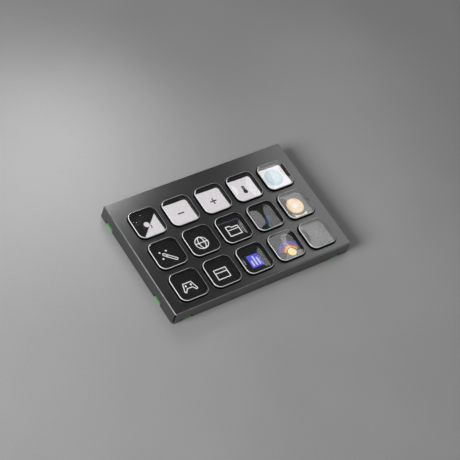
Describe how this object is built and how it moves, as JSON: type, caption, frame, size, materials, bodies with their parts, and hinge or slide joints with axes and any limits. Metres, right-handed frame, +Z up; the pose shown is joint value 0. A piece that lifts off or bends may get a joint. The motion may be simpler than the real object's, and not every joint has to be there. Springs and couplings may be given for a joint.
{
  "type": "display macro keypad",
  "caption": "Flat keypad: clear dished keys over one colour display, in a folded dark metal cover with a bright green tray below.",
  "frame": {"origin": "middle of the cover's outline, on the surface the feet stand on", "axes": "+X along the key rows, to the right; +Y to the rear, towards the socket; +Z up, out of the keys"},
  "size_m": [0.105, 0.0676, 0.0104],
  "materials": {
    "cover_metal": "fine matt, dark grey",
    "clear_keys": "clear and polished",
    "black_tape": "matt",
    "guide_plastic": "matt",
    "silicone": "matt",
    "circuit_board": "solder mask",
    "display_glass": "polished, over dark pixels",
    "backlight_film": "diffusing sheet",
    "display_can": "stamped sheet",
    "ribbon": "amber film",
    "chip_plastic": "moulded",
    "small_parts": "ceramic",
    "connector_plastic": "moulded",
    "socket_metal": "plated",
    "tray_plastic": "moulded, bright green",
    "screw_steel": "dark",
    "foot_rubber": "matt"
  },
  "bodies": {
    "case": {"adhesive_frame": "black_tape", "backlight": "backlight_film", "base_tray": "tray_plastic", "contact_board": "circuit_board", "controller_chip": "chip_plastic", "cover": "cover_metal", "display_connector": "connector_plastic", "display_flex": "ribbon", "display_frame": "display_can", "display_glass": "display_glass", "feet": "foot_rubber", "insulating_film": "black_tape", "key_guide": "guide_plastic", "keypad_connector": "connector_plastic", "keypad_flex": "ribbon", "main_board": "circuit_board", "memory_chip": "chip_plastic", "return_mat": "silicone", "screws": "screw_steel", "small_components": "small_parts", "usb_socket": "socket_metal", "usb_tongue": "chip_plastic"},
    "key_r1c1": {"keycap_r1c1": "clear_keys"},
    "key_r1c2": {"keycap_r1c2": "clear_keys"},
    "key_r1c3": {"keycap_r1c3": "clear_keys"},
    "key_r1c4": {"keycap_r1c4": "clear_keys"},
    "key_r1c5": {"keycap_r1c5": "clear_keys"},
    "key_r2c1": {"keycap_r2c1": "clear_keys"},
    "key_r2c2": {"keycap_r2c2": "clear_keys"},
    "key_r2c3": {"keycap_r2c3": "clear_keys"},
    "key_r2c4": {"keycap_r2c4": "clear_keys"},
    "key_r2c5": {"keycap_r2c5": "clear_keys"},
    "key_r3c1": {"keycap_r3c1": "clear_keys"},
    "key_r3c2": {"keycap_r3c2": "clear_keys"},
    "key_r3c3": {"keycap_r3c3": "clear_keys"},
    "key_r3c4": {"keycap_r3c4": "clear_keys"},
    "key_r3c5": {"keycap_r3c5": "clear_keys"}
  },
  "joints": [
    {"name": "press_r1c1", "type": "slide", "parent": "case", "child": "key_r1c1", "axis": [0, 0, 1], "range_m": [-0.0007, 0], "stiffness_N_per_m": 400, "springref_m": 0.001, "deforming": ["return_mat"]},
    {"name": "press_r1c2", "type": "slide", "parent": "case", "child": "key_r1c2", "axis": [0, 0, 1], "range_m": [-0.0007, 0], "stiffness_N_per_m": 400, "springref_m": 0.001, "deforming": ["return_mat"]},
    {"name": "press_r1c3", "type": "slide", "parent": "case", "child": "key_r1c3", "axis": [0, 0, 1], "range_m": [-0.0007, 0], "stiffness_N_per_m": 400, "springref_m": 0.001, "deforming": ["return_mat"]},
    {"name": "press_r1c4", "type": "slide", "parent": "case", "child": "key_r1c4", "axis": [0, 0, 1], "range_m": [-0.0007, 0], "stiffness_N_per_m": 400, "springref_m": 0.001, "deforming": ["return_mat"]},
    {"name": "press_r1c5", "type": "slide", "parent": "case", "child": "key_r1c5", "axis": [0, 0, 1], "range_m": [-0.0007, 0], "stiffness_N_per_m": 400, "springref_m": 0.001, "deforming": ["return_mat"]},
    {"name": "press_r2c1", "type": "slide", "parent": "case", "child": "key_r2c1", "axis": [0, 0, 1], "range_m": [-0.0007, 0], "stiffness_N_per_m": 400, "springref_m": 0.001, "deforming": ["return_mat"]},
    {"name": "press_r2c2", "type": "slide", "parent": "case", "child": "key_r2c2", "axis": [0, 0, 1], "range_m": [-0.0007, 0], "stiffness_N_per_m": 400, "springref_m": 0.001, "deforming": ["return_mat"]},
    {"name": "press_r2c3", "type": "slide", "parent": "case", "child": "key_r2c3", "axis": [0, 0, 1], "range_m": [-0.0007, 0], "stiffness_N_per_m": 400, "springref_m": 0.001, "deforming": ["return_mat"]},
    {"name": "press_r2c4", "type": "slide", "parent": "case", "child": "key_r2c4", "axis": [0, 0, 1], "range_m": [-0.0007, 0], "stiffness_N_per_m": 400, "springref_m": 0.001, "deforming": ["return_mat"]},
    {"name": "press_r2c5", "type": "slide", "parent": "case", "child": "key_r2c5", "axis": [0, 0, 1], "range_m": [-0.0007, 0], "stiffness_N_per_m": 400, "springref_m": 0.001, "deforming": ["return_mat"]},
    {"name": "press_r3c1", "type": "slide", "parent": "case", "child": "key_r3c1", "axis": [0, 0, 1], "range_m": [-0.0007, 0], "stiffness_N_per_m": 400, "springref_m": 0.001, "deforming": ["return_mat"]},
    {"name": "press_r3c2", "type": "slide", "parent": "case", "child": "key_r3c2", "axis": [0, 0, 1], "range_m": [-0.0007, 0], "stiffness_N_per_m": 400, "springref_m": 0.001, "deforming": ["return_mat"]},
    {"name": "press_r3c3", "type": "slide", "parent": "case", "child": "key_r3c3", "axis": [0, 0, 1], "range_m": [-0.0007, 0], "stiffness_N_per_m": 400, "springref_m": 0.001, "deforming": ["return_mat"]},
    {"name": "press_r3c4", "type": "slide", "parent": "case", "child": "key_r3c4", "axis": [0, 0, 1], "range_m": [-0.0007, 0], "stiffness_N_per_m": 400, "springref_m": 0.001, "deforming": ["return_mat"]},
    {"name": "press_r3c5", "type": "slide", "parent": "case", "child": "key_r3c5", "axis": [0, 0, 1], "range_m": [-0.0007, 0], "stiffness_N_per_m": 400, "springref_m": 0.001, "deforming": ["return_mat"]}
  ]
}
